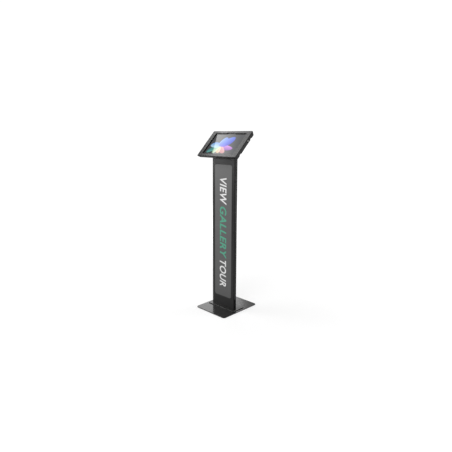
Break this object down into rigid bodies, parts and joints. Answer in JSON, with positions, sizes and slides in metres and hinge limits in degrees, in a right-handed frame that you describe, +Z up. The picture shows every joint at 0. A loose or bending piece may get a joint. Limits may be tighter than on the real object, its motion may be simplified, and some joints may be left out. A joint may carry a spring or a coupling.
{
  "type": "touchscreen kiosk",
  "caption": "Floor-standing touchscreen kiosk: flat column with a graphic panel on a heavy base plate, and a tilted lockable tablet enclosure that turns on a swivel.",
  "frame": {"origin": "on the floor under the middle of the base plate", "axes": "+Z up, -Y towards the visitor in front of the graphic panel, +X to the visitor's right"},
  "size_m": [0.322, 0.304, 1.1163],
  "materials": {
    "base_paint": "satin black powder coat on steel, smooth and slightly glossy",
    "column_paint": "satin black powder coat",
    "cover_paint": "satin black powder coat",
    "panel_print": "printed matt film on a plastic sheet",
    "bracket_paint": "fine textured black powder coat",
    "enclosure_paint": "fine textured black powder coat",
    "frame_paint": "fine textured black powder coat",
    "zinc_steel": "bright zinc plated",
    "black_screw": "black oxide",
    "rubber": "matt",
    "nylon": "moulded",
    "foam": "closed-cell foam",
    "tablet_metal": "bead-blasted and anodised",
    "screen_glass": "polished",
    "camera_lens": "polished",
    "display_black": "lit display with a plain abstract picture",
    "battery_foil": "foil pouch",
    "board": "solder-resist lacquer",
    "lock_black": "moulded",
    "lock_steel": "turned and nickel plated"
  },
  "bodies": {
    "stand": {"base_plate": "base_paint", "rubber_feet": "rubber", "base_screws": "zinc_steel", "foot_flange": "base_paint", "foot_angles": "zinc_steel", "flange_screws": "zinc_steel", "angle_screws": "black_screw", "column_channel": "column_paint", "outlet_grommet": "rubber", "column_front_cover": "cover_paint", "graphic_panel": "panel_print", "cover_studs": "zinc_steel", "cover_nuts": "zinc_steel", "rivet_nuts": "black_screw", "head_bracket": "bracket_paint", "bracket_bolts": "black_screw", "bracket_nuts": "zinc_steel", "friction_washer": "nylon", "stop_pin": "zinc_steel"},
    "enclosure": {"swivel_plate": "bracket_paint", "swivel_screws": "black_screw", "pivot_spindle": "zinc_steel", "spring_washer": "zinc_steel", "pivot_nut": "zinc_steel", "rear_shell": "enclosure_paint", "front_frame": "frame_paint", "frame_screws": "black_screw", "screen_gasket": "foam", "tablet_body": "tablet_metal", "cover_glass": "screen_glass", "front_camera": "camera_lens", "display_module": "display_black", "tablet_battery": "battery_foil", "circuit_board": "board", "tablet_supports": "foam", "tablet_guides": "nylon", "lock_housing": "lock_black", "lock_barrel": "lock_steel", "lock_keeper": "zinc_steel", "keeper_screws": "zinc_steel"},
    "lock_plug_body": {"lock_plug": "lock_steel"},
    "power_key_body": {"power_key": "tablet_metal"},
    "volume_rocker_body": {"volume_rocker": "tablet_metal"}
  },
  "joints": [
    {"name": "enclosure_turn", "type": "hinge", "parent": "stand", "child": "enclosure", "pos_m": [0, -0.0292, 1.04385], "axis": [0, -0.7071, 0.7071], "range_deg": [0, 90]},
    {"name": "lock_turn", "type": "hinge", "parent": "enclosure", "child": "lock_plug_body", "pos_m": [0.15, 0.00474, 1.06011], "axis": [1, 0, 0], "range_deg": [0, 90]},
    {"name": "power_key_press", "type": "slide", "parent": "enclosure", "child": "power_key_body", "axis": [0, -0.7071, -0.7071], "range_m": [0, 0.0003], "stiffness_N_per_m": 800, "springref_m": -0.0008},
    {"name": "volume_rocker_press", "type": "slide", "parent": "enclosure", "child": "volume_rocker_body", "axis": [0, -0.7071, -0.7071], "range_m": [0, 0.0003], "stiffness_N_per_m": 800, "springref_m": -0.0008}
  ]
}
